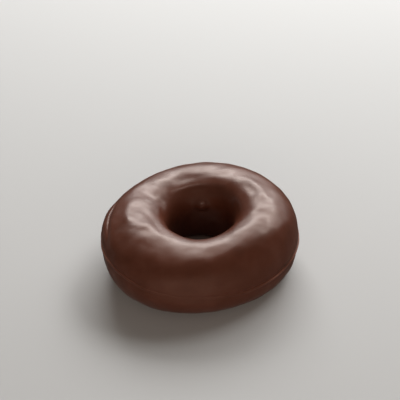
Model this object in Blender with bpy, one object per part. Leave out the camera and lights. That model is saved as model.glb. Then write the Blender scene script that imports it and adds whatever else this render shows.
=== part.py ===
"""A chocolate-coated ring doughnut, one solid standing on its flat foot.

The ring's cross-section is drawn once from named sizes, as four rounded quarters and a flat foot,
and spun round +Z. Slow waves round the ring then make it oval, higher on one side and not quite
true, as a raised and fried ring is.
"""

import math

import bmesh
import bpy

MM = 0.001

# The round sizes of the ring, before it is made uneven.
OUTER_RADIUS = 44.0 * MM
CREST_RADIUS = 28.2 * MM
HOLE_RADIUS = 14.8 * MM
CREST_HEIGHT = 31.0 * MM
SEAM_HEIGHT = 17.2 * MM
WAIST_HEIGHT = 16.4 * MM
FOOT_INNER_RADIUS = 18.8 * MM
FOOT_OUTER_RADIUS = 33.3 * MM

# How full each quarter of the cross-section is: 2 is an ellipse, and more is squarer.
OUTER_TOP_FULLNESS = 2.2
INNER_TOP_FULLNESS = 2.3
INNER_FOOT_FULLNESS = 2.6
OUTER_FOOT_FULLNESS = 2.35

# The crease where the two fried sides meet, run over by the coating.
CREASE_DEPTH = 0.5 * MM
CREASE_HALF_WIDTH = 0.9 * MM

# Slow waves round the ring: lobes, size, and the direction of the first lobe in degrees.
OUTER_WAVES = ((2, 2.1 * MM, 48), (3, 1.3 * MM, -19))
HOLE_WAVES = ((1, 0.6 * MM, 69),)
CREST_WAVES = ((1, 1.9 * MM, -6), (2, 1.1 * MM, 21), (3, 0.6 * MM, -35))
SEAM_WAVES = ((1, 3.6 * MM, 155), (2, 1.6 * MM, 14))

# Facets: stations round the ring, and steps along each stretch of the cross-section.
RING_STEPS = 96
OUTER_TOP_STEPS = 10
INNER_TOP_STEPS = 9
INNER_FOOT_STEPS = 7
FOOT_STEPS = 2
OUTER_FOOT_STEPS = 8

COATING_COLOUR = (0.122, 0.031, 0.015, 1.0)
COATING_ROUGHNESS = 0.33


def clear_scene():
    """Removes whatever the startup file holds."""
    for item in list(bpy.data.objects):
        bpy.data.objects.remove(item)


def wave_sum(waves, angle):
    """The height of several slow waves at an angle round the ring."""
    return sum(size * math.cos(lobes * (angle - math.radians(first))) for lobes, size, first in waves)


def quarter(centre, reach, fullness, first_degrees, steps):
    """Points along a quarter of a rounded cross-section, its last point left to the next stretch."""
    points = []
    for step in range(steps):
        turn = math.radians(first_degrees + 90 * step / steps)
        across, up = math.cos(turn), math.sin(turn)
        radius = centre[0] + reach[0] * math.copysign(abs(across) ** (2 / fullness), across)
        height = centre[1] + reach[1] * math.copysign(abs(up) ** (2 / fullness), up)
        points.append((radius, height))
    return points


def cross_section():
    """The closed outline of the ring as (radius, height), from the seam over the crest to the foot and back."""
    outer_top = quarter(
        (CREST_RADIUS, SEAM_HEIGHT),
        (OUTER_RADIUS - CREST_RADIUS, CREST_HEIGHT - SEAM_HEIGHT),
        OUTER_TOP_FULLNESS, 0, OUTER_TOP_STEPS,
    )
    inner_top = quarter(
        (CREST_RADIUS, WAIST_HEIGHT),
        (CREST_RADIUS - HOLE_RADIUS, CREST_HEIGHT - WAIST_HEIGHT),
        INNER_TOP_FULLNESS, 90, INNER_TOP_STEPS,
    )
    inner_foot = quarter(
        (FOOT_INNER_RADIUS, WAIST_HEIGHT),
        (FOOT_INNER_RADIUS - HOLE_RADIUS, WAIST_HEIGHT),
        INNER_FOOT_FULLNESS, 180, INNER_FOOT_STEPS,
    )
    foot_width = FOOT_OUTER_RADIUS - FOOT_INNER_RADIUS
    foot = [(FOOT_INNER_RADIUS + foot_width * step / FOOT_STEPS, 0.0) for step in range(FOOT_STEPS)]
    outer_foot = quarter(
        (FOOT_OUTER_RADIUS, SEAM_HEIGHT),
        (OUTER_RADIUS - FOOT_OUTER_RADIUS, SEAM_HEIGHT),
        OUTER_FOOT_FULLNESS, 270, OUTER_FOOT_STEPS,
    )
    return crease(outer_top) + inner_top + inner_foot + foot + outer_foot


def crease(outer_top):
    """The outer top quarter with its first point, at the seam, drawn in between two shoulders."""
    seam_radius, seam_height = outer_top[0]
    below = (seam_radius, seam_height - CREASE_HALF_WIDTH)
    bottom = (seam_radius - CREASE_DEPTH, seam_height)
    above = (seam_radius, seam_height + CREASE_HALF_WIDTH)
    return [below, bottom, above, *outer_top[1:]]


def spin_ring(outline):
    """A closed bmesh of the outline spun once round +Z."""
    ring = bmesh.new()
    corners = [ring.verts.new((radius, 0.0, height)) for radius, height in outline]
    edges = [ring.edges.new((corner, corners[index - 1])) for index, corner in enumerate(corners)]
    bmesh.ops.spin(
        ring, geom=corners + edges, cent=(0, 0, 0), axis=(0, 0, 1),
        angle=math.tau, steps=RING_STEPS, use_merge=True,
    )
    bmesh.ops.recalc_face_normals(ring, faces=ring.faces)
    return ring


def uneven_radius(radius, angle):
    """A round ring's radius, moved in or out by the waves of the outside or of the hole."""
    if radius > CREST_RADIUS:
        share = (radius - CREST_RADIUS) / (OUTER_RADIUS - CREST_RADIUS)
        return radius + share * wave_sum(OUTER_WAVES, angle)
    share = (CREST_RADIUS - radius) / (CREST_RADIUS - HOLE_RADIUS)
    return radius + share * wave_sum(HOLE_WAVES, angle)


def uneven_height(radius, height, angle):
    """A round ring's height, stretched so that the crest and, outside it, the seam follow their waves."""
    crest = CREST_HEIGHT + wave_sum(CREST_WAVES, angle)
    if radius <= CREST_RADIUS:
        return height * crest / CREST_HEIGHT
    seam = SEAM_HEIGHT + wave_sum(SEAM_WAVES, angle)
    if height <= SEAM_HEIGHT:
        return height * seam / SEAM_HEIGHT
    return seam + (height - SEAM_HEIGHT) * (crest - seam) / (CREST_HEIGHT - SEAM_HEIGHT)


def make_uneven(ring):
    """Moves each point of the round ring to where the fried one has it."""
    for corner in ring.verts:
        radius, height = math.hypot(corner.co.x, corner.co.y), corner.co.z
        angle = math.atan2(corner.co.y, corner.co.x)
        new_radius = uneven_radius(radius, angle)
        corner.co = (
            new_radius * math.cos(angle),
            new_radius * math.sin(angle),
            uneven_height(radius, height, angle),
        )


def centre_on_origin(ring):
    """Shifts the ring so that the origin is under the middle of its outline."""
    for axis in (0, 1):
        values = [corner.co[axis] for corner in ring.verts]
        middle = (min(values) + max(values)) / 2
        for corner in ring.verts:
            corner.co[axis] -= middle


def coating_material():
    """Set chocolate: dark brown, with a soft gloss."""
    material = bpy.data.materials.new("chocolate_coating")
    material.use_nodes = True
    shader = material.node_tree.nodes["Principled BSDF"]
    shader.inputs["Base Color"].default_value = COATING_COLOUR
    shader.inputs["Roughness"].default_value = COATING_ROUGHNESS
    shader.inputs["Metallic"].default_value = 0.0
    return material


def build_doughnut():
    """The doughnut as one object."""
    ring = spin_ring(cross_section())
    make_uneven(ring)
    centre_on_origin(ring)
    mesh = bpy.data.meshes.new("doughnut")
    ring.to_mesh(mesh)
    ring.free()
    mesh.shade_smooth()
    mesh.materials.append(coating_material())
    doughnut = bpy.data.objects.new("doughnut", mesh)
    bpy.context.scene.collection.objects.link(doughnut)
    return doughnut


clear_scene()
build_doughnut()
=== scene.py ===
"""The looks of a chocolate-coated ring doughnut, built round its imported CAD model.

The coating is one fine closed surface. It takes the CAD solid's form, smooths its facets away and
adds the relief that set chocolate has: swells, hollows, ridges and grooves, a creased seam with a
bead under it, a pinched fold on the left shoulder, a small nub in the hole, and slight ripples.
"""

import math

import bpy
import numpy as np
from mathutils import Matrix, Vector
from mathutils.bvhtree import BVHTree


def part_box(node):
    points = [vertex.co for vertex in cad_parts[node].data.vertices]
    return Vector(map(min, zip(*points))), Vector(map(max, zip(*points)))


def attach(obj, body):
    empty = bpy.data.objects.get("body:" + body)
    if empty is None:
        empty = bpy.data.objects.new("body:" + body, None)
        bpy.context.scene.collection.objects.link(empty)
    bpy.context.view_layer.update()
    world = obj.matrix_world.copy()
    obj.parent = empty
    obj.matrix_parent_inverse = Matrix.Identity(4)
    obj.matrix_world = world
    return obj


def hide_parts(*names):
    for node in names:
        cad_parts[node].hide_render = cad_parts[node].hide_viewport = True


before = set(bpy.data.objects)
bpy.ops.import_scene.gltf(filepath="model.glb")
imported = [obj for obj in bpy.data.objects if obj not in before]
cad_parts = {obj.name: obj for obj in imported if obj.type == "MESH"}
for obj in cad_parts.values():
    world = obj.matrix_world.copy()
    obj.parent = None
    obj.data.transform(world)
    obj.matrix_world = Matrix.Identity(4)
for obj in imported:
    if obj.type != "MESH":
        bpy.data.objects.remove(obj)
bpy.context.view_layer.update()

MM = 0.001
UP = Vector((0.0, 0.0, 1.0))

# The frame
NODE = "doughnut"

# The camera, as the photograph sees the ring: its elevation in degrees, its distance from its target, the
# row of the frame that the target lies on, the scale there, and the sensor's width in mm
VIEW_ELEVATION = 37.5
VIEW_DISTANCE = 550 * MM
VIEW_TARGET = Vector((-0.36, -0.84, 15.5)) * MM
TARGET_PIXEL = 234.0
FRAME_PIXELS = 400
PIXELS_PER_METRE = 2210
SENSOR_WIDTH = 36.0

# Soft lights: azimuth and elevation in degrees, distance, width and height in metres, and power in watts.
# Azimuth 0 is behind the ring, as the camera sees it, and 90 is to the right.
LIGHTS = {
    "window": (5, 37, 0.9, 0.66, 0.32, 5.6),
    "scrim": (18, 34, 1.05, 1.45, 1.1, 6.8),
    "side": (44, 48, 0.9, 0.32, 0.30, 1.7),
    "left_rim": (-64, 6, 0.9, 0.6, 0.16, 0.08),
    "fill": (180, 18, 1.2, 1.8, 0.5, 4.4),
    "near": (0, 84, 0.105, 0.04, 0.03, 0.012),
}
FILL_COLOUR = (1.0, 0.9, 0.8)

# The surround: its colour, the direction of its glow, the cosines of the glow's outer and inner edge,
# and the strength outside and inside them
SURROUND_COLOUR = (1.0, 0.85, 0.75, 1.0)
GLOW_DIRECTION = (0.0, -0.97, -0.25)
GLOW_EDGE = (0.70, 0.93)
GLOW_STRENGTH = (0.1, 0.42)

# The floor: a disc under the ring, and the rest, which the coating doesn't mirror
FLOOR_MIDDLE = 26 * MM
FLOOR_REACH = 3.0
FLOOR_SIDES = 96
FLOOR_COLOUR = (0.62, 0.62, 0.61, 1.0)
FLOOR_ROUGHNESS = 0.9

# The chocolate: its clouds as a noise of a size, detail and roughness, and their colours by its value, then
# the paler colour of the painted highlight along the seam's bead, and the tint of its gloss
CLOUD_NOISE = (9 * MM, 4, 0.6)
CLOUD_COLOURS = (
    (0.3, (0.092, 0.026, 0.013)),
    (0.5, (0.107, 0.031, 0.0165)),
    (0.72, (0.122, 0.039, 0.023)),
)
PAINTED_HIGHLIGHT_COLOUR = (0.33, 0.15, 0.11, 1.0)
GLOSS_TINT = (1.0, 0.83, 0.73, 1.0)

# The roughness of its gloss by another noise, and the bumps of its skin: size, detail and depth
GLOSS_NOISE = (4 * MM, 1, 0.5)
GLOSS_ROUGHNESS = ((0.3, 0.29), (0.7, 0.38))
SKIN_BUMPS = ((2.4 * MM, 2, 0.013 * MM), (0.5 * MM, 2, 0.003 * MM))

# The coating's grid: stations round the ring, and rows round its cross-section, closer at the seam
RING_STATIONS = 480
SECTION_ROWS = 200
SEAM_CROWDING = 0.55
TUBE_HEIGHT = 16.5 * MM

# The form read from the CAD solid: samples round the ring and round its section, and how wide its facets
# are smoothed, in degrees
FORM_STATIONS = 192
FORM_SECTIONS = 256
STATION_SMOOTHING = 3.0
SECTION_SMOOTHING = 6.0

# The seam's path, as the CAD solid has it: mean height, and lobes, size and first lobe in degrees. It is
# found round the section by halving.
SEAM_HEIGHT = 17.2 * MM
SEAM_WAVES = ((1, 3.6 * MM, 155), (2, 1.6 * MM, 14))
SEAM_HALVINGS = 30

# Swells and hollows of the coating: pixel of the photograph, half-widths across and up, and height, in mm
SWELLS = {
    "rear left swell": ((158, 181), 5.5, 5.5, 0.45),
    "rear left hollow": ((163, 204), 2.6, 4.6, -0.5),
    "left rear patch": ((143, 203), 4.0, 3.2, 0.3),
    "left patch": ((134, 222), 4.6, 4.0, 0.3),
    "left shoulder hollow": ((119, 208), 4.6, 5.0, -0.3),
    "left front hollow": ((148, 243), 6.5, 4.2, -0.3),
    "left front slope": ((148, 262), 10.0, 7.5, -0.9),
    "left front dip": ((165, 250), 4.6, 4.2, -0.35),
    "left front swell": ((148, 257), 3.6, 3.4, 0.18),
    "rear hollow": ((190, 178), 6.0, 3.6, -0.2),
    "rear rim dip": ((221, 196), 2.4, 3.4, -0.3),
    "right knob": ((261, 196), 3.0, 3.6, 0.4),
    "right hollow": ((247, 216), 5.4, 7.4, -0.45),
    "right dip": ((262, 220), 3.0, 2.6, -0.18),
    "right outer hollow": ((271, 216), 4.6, 4.4, -0.25),
    "right blob": ((260, 208), 2.2, 2.4, 0.12),
    "right outer dip": ((280, 207), 2.6, 2.6, -0.15),
    "right front swell": ((242, 248), 5.0, 2.8, 0.2),
}

# Ridges and grooves: half-width in mm, and knots as pixel of the photograph and height in mm
STROKES = {
    "left bank": (2.8, (
        (139, 198, 0), (131, 204, 0.3), (128, 212, 0.45), (129, 221, 0.4), (134, 228, 0),
    )),
    "left rear arm": (2.6, ((133, 202, 0), (140, 199, 0.25), (148, 200, 0.25), (154, 204, 0))),
    "left front arm": (2.6, ((130, 224, 0), (138, 226, 0.2), (145, 226, 0.2), (154, 230, 0))),
    "pool groove": (2.3, (
        (139, 208, 0), (146, 213, -0.3), (153, 220, -0.45), (160, 229, -0.4), (172, 238, 0),
    )),
    "left rim ridge": (2.2, ((152, 203, 0), (157, 209, 0.2), (161, 215, 0.2), (166, 224, 0))),
    "left shoulder": (3.6, ((117, 212, 0), (117, 232, -0.3), (122, 245, -0.3), (134, 253, 0))),
    "rear left groove": (2.8, (
        (135, 190, 0), (141, 191, -0.2), (148, 194, -0.3), (155, 198, -0.25), (162, 205, 0),
    )),
    "rear edge": (2.4, (
        (160, 176, 0), (172, 171, 0.2), (190, 167, 0.25), (208, 166, 0.2), (222, 167, 0),
    )),
    "rear dip": (2.4, (
        (172, 184, 0), (184, 179, -0.2), (200, 176, -0.2), (218, 174, -0.2), (242, 173, 0),
    )),
    "rear ridge": (2.0, (
        (170, 192, 0), (182, 188, 0.2), (200, 185, 0.25), (216, 185, 0.2), (227, 184, 0),
    )),
    "rear rim groove": (1.8, ((180, 197, 0), (190, 194, -0.2), (204, 193, -0.15), (214, 195, 0))),
    "right ridge": (2.3, (
        (239, 176, 0), (248, 179, 0.3), (256, 185, 0.45), (262, 191, 0.4), (269, 204, 0),
    )),
    "right groove": (2.2, ((241, 182, 0), (248, 187, -0.2), (253, 192, -0.2), (258, 201, 0))),
    "right rim ridge": (1.9, ((231, 192, 0), (238, 198, 0.25), (241, 205, 0.3), (241, 214, 0))),
    "right shoulder ridge": (2.2, ((286, 215, 0), (283, 225, 0.2), (277, 234, 0.2), (267, 242, 0))),
    "right side": (3.2, ((284, 240, 0), (274, 253, -0.3), (264, 262, -0.3), (252, 270, 0))),
    "front rim": (3.0, (
        (164, 238, 0), (182, 248, -0.2), (200, 252, -0.2), (218, 250, -0.2), (240, 240, 0),
    )),
}

# How deep a swell reaches into the ring in mm, and a stroke's samples and reach in half-widths
RELIEF_DEPTH = 8.0
STROKE_SAMPLES = 60
STROKE_REACH = 3

# The seam's groove and the bead of coating under it: middle below the seam, half-width and height, in mm
SEAM_PROFILE = ((-0.1, 0.5, -0.42), (0.65, 0.5, 0.46))
# How much of them shows, at angles round the ring in degrees: the coating fills the seam in front
SEAM_SHOW = (
    (-180, 0.9), (-150, 1.0), (-130, 0.6), (-105, 0.25), (-75, 0.25), (-50, 0.8), (-20, 1.0), (60, 0.7),
)

# The painted highlight on the bead's edge, a paler colour that stands in for the light the bead catches:
# middle below the seam and half-width in mm, how much of it there is, how fast that falls off where less
# of the seam shows, and the mesh attribute that holds it
PAINTED_HIGHLIGHT_MIDDLE = 0.4
PAINTED_HIGHLIGHT_HALF_WIDTH = 0.28
PAINTED_HIGHLIGHT_SHARE = 0.9
PAINTED_HIGHLIGHT_FALL = 3
PAINTED_HIGHLIGHT = "painted_highlight"

# How the seam wanders in mm, and how it fades in places: lobes, size and first lobe in degrees
SEAM_WANDER = ((7, 0.16, 20), (12, 0.1, 130), (19, 0.07, 250))
SEAM_FADE = ((5, 0.18, 70), (9, 0.16, 200), (16, 0.12, 320))

# The pinched fold on the left shoulder: half-width in mm, and knots as angle in degrees, height over the
# floor and height of the relief in mm. The knots are looked for from a distance outside the ring, in mm.
FOLDS = {
    "fold": (0.9, (
        (155, 24.5, 0), (168, 26.6, -0.35), (-180, 27.0, -0.6),
        (-168, 27.4, -0.6), (-158, 26.6, -0.35), (-150, 24, 0),
    )),
    "fold lip": (2.0, (
        (158, 21.5, 0), (172, 23.6, 0.35), (-176, 24.4, 0.5), (-165, 24.6, 0.4), (-153, 22.8, 0),
    )),
}
OUTSIDE = 80.0

# A run of coating that set as a small nub on the hole's back wall: angle in degrees and height over the
# floor, then half-widths across and up, and height, in mm
NUB_PLACE = (88, 20.0)
NUB_SHAPE = (2.9, 1.7, 2.6)

# Irregularities all over: how many waves, shortest and longest wave in mm, and height in mm
RIPPLES = ((30, 6.0, 11.0, 0.05), (70, 2.4, 3.8, 0.004))
SEED = 11


def outward(angle):
    """The direction away from the ring's axis, at an angle round it."""
    return Vector((math.cos(angle), math.sin(angle), 0.0))


def half_turn(angle):
    """Angles brought to within half a turn of zero."""
    return (angle + math.pi) % math.tau - math.pi


def wave_sum(waves, angle):
    """The sum of slow waves at an array of angles round the ring."""
    return sum(size * np.cos(lobes * (angle - math.radians(first))) for lobes, size, first in waves)


def periodic_blur(values, sigma, axis):
    """Gaussian smoothing along an axis that closes on itself, with sigma in degrees of a full turn."""
    count = values.shape[axis]
    harmonics = np.fft.fftfreq(count, 1 / count)
    shape = [1, 1]
    shape[axis] = count
    damping = np.exp(-0.5 * (harmonics * math.radians(sigma)) ** 2).reshape(shape)
    return np.fft.ifft(np.fft.fft(values, axis=axis) * damping, axis=axis).real


def smooth_through(run, values, share):
    """A smooth curve through knots, by cubic pieces with the slope of their neighbours."""
    slope = np.gradient(values, run)
    index = np.clip(np.searchsorted(run, share, side="right") - 1, 0, len(run) - 2)
    step = run[index + 1] - run[index]
    u = (share - run[index]) / step
    start = (2 * u**3 - 3 * u**2 + 1) * values[index] + (u**3 - 2 * u**2 + u) * step * slope[index]
    end = (3 * u**2 - 2 * u**3) * values[index + 1] + (u**3 - u**2) * step * slope[index + 1]
    return start + end


class Form:
    """The CAD ring's smooth form: how far its skin lies from the tube's middle, in every direction."""

    def __init__(self, node):
        tree = BVHTree.FromObject(node, bpy.context.evaluated_depsgraph_get())
        self.middle = self.tube_radius(tree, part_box(node.name)[1].x)
        stations = np.arange(FORM_STATIONS) * math.tau / FORM_STATIONS
        sections = np.arange(FORM_SECTIONS) * math.tau / FORM_SECTIONS
        reach = np.array([[self.cast(tree, angle, turn) for turn in sections] for angle in stations])
        self.reach = periodic_blur(periodic_blur(reach, STATION_SMOOTHING, 0), SECTION_SMOOTHING, 1)

    def tube_radius(self, tree, outside):
        """The tube's middle: halfway from the hole's wall to the outside, along +X."""
        wall = tree.ray_cast(UP * TUBE_HEIGHT, outward(0.0))[0]
        return (wall.x + outside) / 2

    def cast(self, tree, angle, turn):
        """The distance from the tube's middle to the solid's skin."""
        centre = outward(angle) * self.middle + UP * TUBE_HEIGHT
        return tree.ray_cast(centre, outward(angle) * math.cos(turn) + UP * math.sin(turn))[3]

    def at(self, angle, turn):
        """The reach at arrays of angles round the ring and turns round the section."""
        row = (angle / math.tau % 1) * FORM_STATIONS
        column = (turn / math.tau % 1) * FORM_SECTIONS
        r0, c0 = np.floor(row).astype(int), np.floor(column).astype(int)
        fr, fc = row - r0, column - c0
        r0, c0 = r0 % FORM_STATIONS, c0 % FORM_SECTIONS
        r1, c1 = (r0 + 1) % FORM_STATIONS, (c0 + 1) % FORM_SECTIONS
        near = self.reach[r0, c0] * (1 - fc) + self.reach[r0, c1] * fc
        far = self.reach[r1, c0] * (1 - fc) + self.reach[r1, c1] * fc
        return near * (1 - fr) + far * fr

    def seam_turn(self, angle):
        """The turn round the section at which the skin stands at the seam's height."""
        low, high = -math.pi / 4, math.pi / 4
        goal = SEAM_HEIGHT + wave_sum(SEAM_WAVES, angle)
        for _ in range(SEAM_HALVINGS):
            half = (low + high) / 2
            below = TUBE_HEIGHT + self.at(angle, half) * np.sin(half) < goal
            low = np.where(below, half, low)
            high = np.where(below, high, half)
        return (low + high) / 2


def coating_grid(form):
    """Angles and turns of the coating's points. Row 0 lies on the seam, and the next ones go up from it."""
    angle = np.arange(RING_STATIONS) * math.tau / RING_STATIONS
    share = np.arange(SECTION_ROWS) / SECTION_ROWS * math.tau
    turn = form.seam_turn(angle)[:, None] + (share - SEAM_CROWDING * np.sin(share))[None, :]
    return np.broadcast_to(angle[:, None], turn.shape), turn


def coating_points(form, angle, turn):
    """The coating's points before its relief."""
    reach = form.at(angle, turn)
    radius = form.middle + reach * np.cos(turn)
    height = TUBE_HEIGHT + reach * np.sin(turn)
    return np.stack([radius * np.cos(angle), radius * np.sin(angle), height], -1)


def grid_quads(rings, rows):
    """The corners of the quads of a grid that closes on itself both ways."""
    index = np.arange(rings * rows).reshape(rings, rows)
    ahead, up = np.roll(index, -1, 0), np.roll(index, -1, 1)
    return np.stack([index, ahead, np.roll(ahead, -1, 1), up], -1).reshape(-1, 4)


def grid_normals(points):
    """Outward normals of a grid that closes on itself both ways."""
    along = np.roll(points, -1, 0) - np.roll(points, 1, 0)
    across = np.roll(points, -1, 1) - np.roll(points, 1, 1)
    normal = np.cross(along, across)
    return normal / np.linalg.norm(normal, axis=-1, keepdims=True)


def sight(seer, pixel):
    """The camera's line of sight through a pixel of the photograph."""
    lens = seer.data.lens * FRAME_PIXELS / seer.data.sensor_width
    middle = FRAME_PIXELS / 2
    ahead = Vector(((pixel[0] - middle) / lens, (middle - pixel[1]) / lens, -1.0))
    return seer.matrix_basis.to_3x3() @ ahead.normalized()


class Relief:
    """The heights of the coating's swells, hollows, ridges and grooves, in mm, over its smooth points."""

    def __init__(self, points, seer):
        self.seer = seer
        self.points = points.reshape(-1, 3) / MM
        self.tree = BVHTree.FromPolygons(self.points.tolist(), grid_quads(*points.shape[:2]).tolist())
        self.height = np.zeros(len(self.points))
        # How much of the painted highlight along the seam each point takes
        self.painted_highlight = np.zeros(len(self.points))

    def seen(self, across, down):
        """Where the line of sight through a pixel meets the smooth coating, and the normal there."""
        return self.tree.ray_cast(self.seer.location / MM, sight(self.seer, (across, down)))[:2]

    def outside(self, angle, height):
        """The smooth coating's outside at an angle in degrees and a height, and the normal there."""
        away = outward(math.radians(angle))
        return self.tree.ray_cast(away * OUTSIDE + UP * height, -away)[:2]

    def in_hole(self, angle, height):
        """The wall of the hole at an angle in degrees and a height, and the normal there."""
        return self.tree.ray_cast(UP * height, outward(math.radians(angle)))[:2]

    def swell(self, place, across, up, height):
        """Adds a rounded swell or hollow."""
        centre, normal = place
        first = (Vector((1.0, 0.0, 0.0)) - normal.x * normal).normalized()
        away = self.points - np.array(centre)
        x, y, z = (away @ np.array(axis) for axis in (first, normal.cross(first), normal))
        self.height += height * np.exp(-(x / across) ** 2 - (y / up) ** 2 - (z / RELIEF_DEPTH) ** 2)

    def stroke(self, find, half_width, knots):
        """Adds a ridge or groove through its knots, smooth along its length and faded out at its ends."""
        places = np.array([[*find(*knot[:2])[0], knot[2]] for knot in knots])
        run = np.concatenate([[0.0], np.cumsum(np.linalg.norm(np.diff(places[:, :3], axis=0), axis=1))])
        share = np.linspace(0.0, run[-1], STROKE_SAMPLES)
        line = np.stack([smooth_through(run, places[:, axis], share) for axis in range(4)], -1)
        reach = STROKE_REACH * half_width
        low, high = line[:, :3].min(0) - reach, line[:, :3].max(0) + reach
        near = np.flatnonzero(((self.points > low) & (self.points < high)).all(1))
        gap = np.linalg.norm(self.points[near, None, :] - line[None, :, :3], axis=-1)
        self.height[near] += line[gap.argmin(1), 3] * np.exp(-(gap.min(1) / half_width) ** 2)

    def seam(self, drop, angle):
        """Adds the bead and the groove along the seam, by the distance below it in mm, and the painted
        highlight on the bead's edge.
        """
        angles, shares = np.array(SEAM_SHOW).T
        show = np.interp(np.degrees(angle), [*angles, 180], [*shares, shares[0]])
        drop = drop + wave_sum(SEAM_WANDER, angle)
        show = show * (1 + wave_sum(SEAM_FADE, angle))
        for middle, half_width, height in SEAM_PROFILE:
            self.height += (show * height * np.exp(-((drop - middle) / half_width) ** 2)).ravel()
        # The painted highlight: a paler colour along the bead's edge, standing in for the light it catches
        share = np.clip(PAINTED_HIGHLIGHT_SHARE * show, 0.0, 1.0) ** PAINTED_HIGHLIGHT_FALL
        self.painted_highlight = (share * np.exp(-((drop - PAINTED_HIGHLIGHT_MIDDLE) / PAINTED_HIGHLIGHT_HALF_WIDTH) ** 2)).ravel()

    def ripples(self, dice, waves, shortest, longest, height):
        """Adds slight irregularities, as the sum of plane waves in random directions."""
        ways = dice.normal(size=(waves, 3))
        ways /= np.linalg.norm(ways, axis=1, keepdims=True)
        lengths = dice.uniform(shortest, longest, waves)
        starts = dice.uniform(0.0, math.tau, waves)
        for way, length, start in zip(ways, lengths, starts):
            wave = np.cos(self.points @ way * (math.tau / length) + start)
            self.height += height * math.sqrt(2 / waves) * wave

    def raised(self, points):
        """The points moved out along their normals by the relief, and none of them below the floor."""
        points = points + grid_normals(points) * self.height.reshape(points.shape[:2])[..., None] * MM
        points[..., 2] = np.maximum(points[..., 2], 0.0)
        return points


def coating_relief(form, angle, turn, points, seer):
    """All of the coating's relief over its smooth points."""
    relief = Relief(points, seer)
    for pixel, across, up, height in SWELLS.values():
        relief.swell(relief.seen(*pixel), across, up, height)
    for half_width, knots in STROKES.values():
        relief.stroke(relief.seen, half_width, knots)
    for half_width, knots in FOLDS.values():
        relief.stroke(relief.outside, half_width, knots)
    relief.swell(relief.in_hole(*NUB_PLACE), *NUB_SHAPE)
    below = half_turn(form.seam_turn(angle[:, 0])[:, None] - turn)
    relief.seam(below * form.at(angle, turn) / MM, half_turn(angle))
    dice = np.random.default_rng(SEED)
    for ripple in RIPPLES:
        relief.ripples(dice, *ripple)
    return relief


def coating_piece(name, points, painted_highlight):
    """The coating as a closed quad mesh, with how much of the painted seam highlight each point takes."""
    mesh = bpy.data.meshes.new(name)
    mesh.from_pydata(points.reshape(-1, 3).tolist(), [], grid_quads(*points.shape[:2]).tolist())
    mesh.shade_smooth()
    mesh.materials.append(chocolate())
    mesh.attributes.new(PAINTED_HIGHLIGHT, "FLOAT", "POINT").data.foreach_set("value", painted_highlight)
    piece = bpy.data.objects.new(name, mesh)
    bpy.context.scene.collection.objects.link(piece)
    return piece


def chocolate():
    """Set chocolate: dark brown, with a soft gloss that varies, faint clouds, a fine skin and a painted seam
    highlight.
    """
    material = bpy.data.materials.new("chocolate")
    material.use_nodes = True
    tree = material.node_tree
    shader = tree.nodes["Principled BSDF"]
    shader.inputs["Specular Tint"].default_value = GLOSS_TINT
    place = tree.nodes.new("ShaderNodeTexCoord").outputs["Object"]

    def noise(size, detail, roughness=0.5):
        """Noise whose blotches are about a size across, in metres."""
        node = tree.nodes.new("ShaderNodeTexNoise")
        node.inputs["Scale"].default_value = 1.0 / size
        node.inputs["Detail"].default_value = detail
        node.inputs["Roughness"].default_value = roughness
        tree.links.new(place, node.inputs["Vector"])
        return node.outputs["Fac"]

    def ramp(factor, stops):
        """A colour ramp over a factor."""
        node = tree.nodes.new("ShaderNodeValToRGB")
        while len(node.color_ramp.elements) < len(stops):
            node.color_ramp.elements.new(0.5)
        for element, (position, colour) in zip(node.color_ramp.elements, stops):
            element.position = position
            element.color = (*colour, 1.0)
        tree.links.new(factor, node.inputs["Fac"])
        return node.outputs["Color"]

    def with_painted_highlight(colour):
        """The colour, turned paler along the seam's bead, where a highlight is painted."""
        painted_highlight = tree.nodes.new("ShaderNodeAttribute")
        painted_highlight.attribute_name = PAINTED_HIGHLIGHT
        mix = tree.nodes.new("ShaderNodeMix")
        mix.data_type = "RGBA"
        mix.inputs["B"].default_value = PAINTED_HIGHLIGHT_COLOUR
        tree.links.new(painted_highlight.outputs["Fac"], mix.inputs["Factor"])
        tree.links.new(colour, mix.inputs["A"])
        return mix.outputs["Result"]

    def skin():
        """The normal, with its bumps one upon the other."""
        normal = None
        for size, detail, depth in SKIN_BUMPS:
            bump = tree.nodes.new("ShaderNodeBump")
            bump.inputs["Distance"].default_value = depth
            tree.links.new(noise(size, detail), bump.inputs["Height"])
            if normal is not None:
                tree.links.new(normal, bump.inputs["Normal"])
            normal = bump.outputs["Normal"]
        return normal

    clouds = ramp(noise(*CLOUD_NOISE), CLOUD_COLOURS)
    greys = [(position, (roughness,) * 3) for position, roughness in GLOSS_ROUGHNESS]
    # The base colour is turned paler along the seam's bead: a painted highlight
    tree.links.new(with_painted_highlight(clouds), shader.inputs["Base Color"])
    tree.links.new(ramp(noise(*GLOSS_NOISE), greys), shader.inputs["Roughness"])
    tree.links.new(skin(), shader.inputs["Normal"])
    return material


def camera():
    """A camera at the photograph's viewing angle. It aims above the ring, which lies low in the frame."""
    data = bpy.data.cameras.new("camera")
    data.sensor_width = SENSOR_WIDTH
    focal_pixels = PIXELS_PER_METRE * VIEW_DISTANCE
    data.lens = focal_pixels * SENSOR_WIDTH / FRAME_PIXELS
    rise = math.radians(VIEW_ELEVATION)
    aim = rise - math.atan((TARGET_PIXEL - FRAME_PIXELS / 2) / focal_pixels)
    seer = bpy.data.objects.new("camera", data)
    seer.location = VIEW_TARGET + VIEW_DISTANCE * Vector((0.0, -math.cos(rise), math.sin(rise)))
    seer.rotation_euler = (math.pi / 2 - aim, 0.0, 0.0)
    bpy.context.scene.collection.objects.link(seer)
    bpy.context.scene.camera = seer
    return seer


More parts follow.
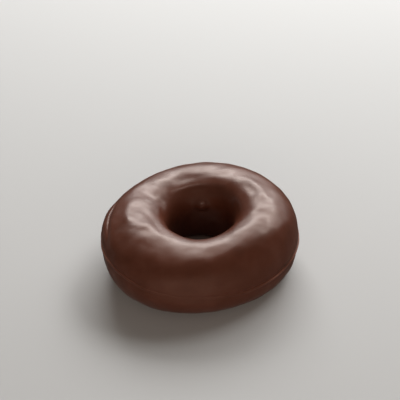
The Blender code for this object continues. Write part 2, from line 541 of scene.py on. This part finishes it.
def softbox(name, azimuth, elevation, distance, width, height, power):
    """A rectangular light that is aimed at the ring."""
    data = bpy.data.lights.new(name, "AREA")
    data.shape = "RECTANGLE"
    data.size, data.size_y = width, height
    data.energy = power
    across, up = math.radians(azimuth), math.radians(elevation)
    away = Vector((math.sin(across) * math.cos(up), math.cos(across) * math.cos(up), math.sin(up)))
    light = bpy.data.objects.new(name, data)
    light.location = VIEW_TARGET + distance * away
    light.rotation_mode = "QUATERNION"
    light.rotation_quaternion = away.to_track_quat("Z", "Y")
    bpy.context.scene.collection.objects.link(light)
    return light


def surround():
    """A dim surround with a pale glow low in front, as a pale table top gives."""
    world = bpy.data.worlds.new("surround")
    world.use_nodes = True
    tree = world.node_tree
    place = tree.nodes.new("ShaderNodeTexCoord")
    nearness = tree.nodes.new("ShaderNodeVectorMath")
    nearness.operation = "DOT_PRODUCT"
    tree.links.new(place.outputs["Generated"], nearness.inputs[0])
    nearness.inputs[1].default_value = GLOW_DIRECTION
    glow = tree.nodes.new("ShaderNodeMapRange")
    glow.interpolation_type = "SMOOTHSTEP"
    for name, value in zip(("From Min", "From Max", "To Min", "To Max"), (*GLOW_EDGE, *GLOW_STRENGTH)):
        glow.inputs[name].default_value = value
    tree.links.new(nearness.outputs["Value"], glow.inputs["Value"])
    shine = tree.nodes["Background"]
    shine.inputs["Color"].default_value = SURROUND_COLOUR
    tree.links.new(glow.outputs["Result"], shine.inputs["Strength"])
    return world


def stage_piece(name, points, faces, paint):
    """A flat piece of the floor."""
    mesh = bpy.data.meshes.new(name)
    mesh.from_pydata(points.tolist(), [], faces)
    mesh.materials.append(paint)
    piece = bpy.data.objects.new(name, mesh)
    bpy.context.scene.collection.objects.link(piece)
    return piece


def floor():
    """A pale floor: a disc under the ring, and a wide ring round it that the coating doesn't mirror."""
    paint = bpy.data.materials.new("floor_paint")
    paint.use_nodes = True
    shader = paint.node_tree.nodes["Principled BSDF"]
    shader.inputs["Base Color"].default_value = FLOOR_COLOUR
    shader.inputs["Roughness"].default_value = FLOOR_ROUGHNESS
    shader.inputs["Specular IOR Level"].default_value = 0.0
    turns = np.linspace(0.0, math.tau, FLOOR_SIDES, endpoint=False)
    circle = np.stack([np.cos(turns), np.sin(turns), np.zeros_like(turns)], -1)
    near, far = circle * FLOOR_MIDDLE, circle * FLOOR_REACH
    ahead = np.roll(np.arange(FLOOR_SIDES), -1).tolist()
    ring = [(here, here + FLOOR_SIDES, there + FLOOR_SIDES, there) for here, there in enumerate(ahead)]
    stage_piece("floor", np.concatenate([near, far]), ring, paint).visible_glossy = False
    stage_piece("floor_middle", near, [tuple(range(FLOOR_SIDES))], paint)


def studio():
    """A pale floor, a dim surround and soft lights, the largest of which stand behind the ring."""
    floor()
    bpy.context.scene.world = surround()
    bpy.context.scene.view_settings.view_transform = "Standard"
    lights = {name: softbox(name, *values) for name, values in LIGHTS.items()}
    lights["fill"].data.color = FILL_COLOUR
    lights["fill"].visible_glossy = False
    lights["near"].visible_camera = False
    lights["near"].visible_diffuse = False


def main():
    """Makes the coating over the CAD solid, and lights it."""
    seer = camera()
    form = Form(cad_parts[NODE])
    angle, turn = coating_grid(form)
    points = coating_points(form, angle, turn)
    relief = coating_relief(form, angle, turn, points, seer)
    coating = coating_piece("coating", relief.raised(points), relief.painted_highlight)
    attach(coating, "root")
    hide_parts(NODE)
    studio()
    bpy.context.view_layer.update()


main()
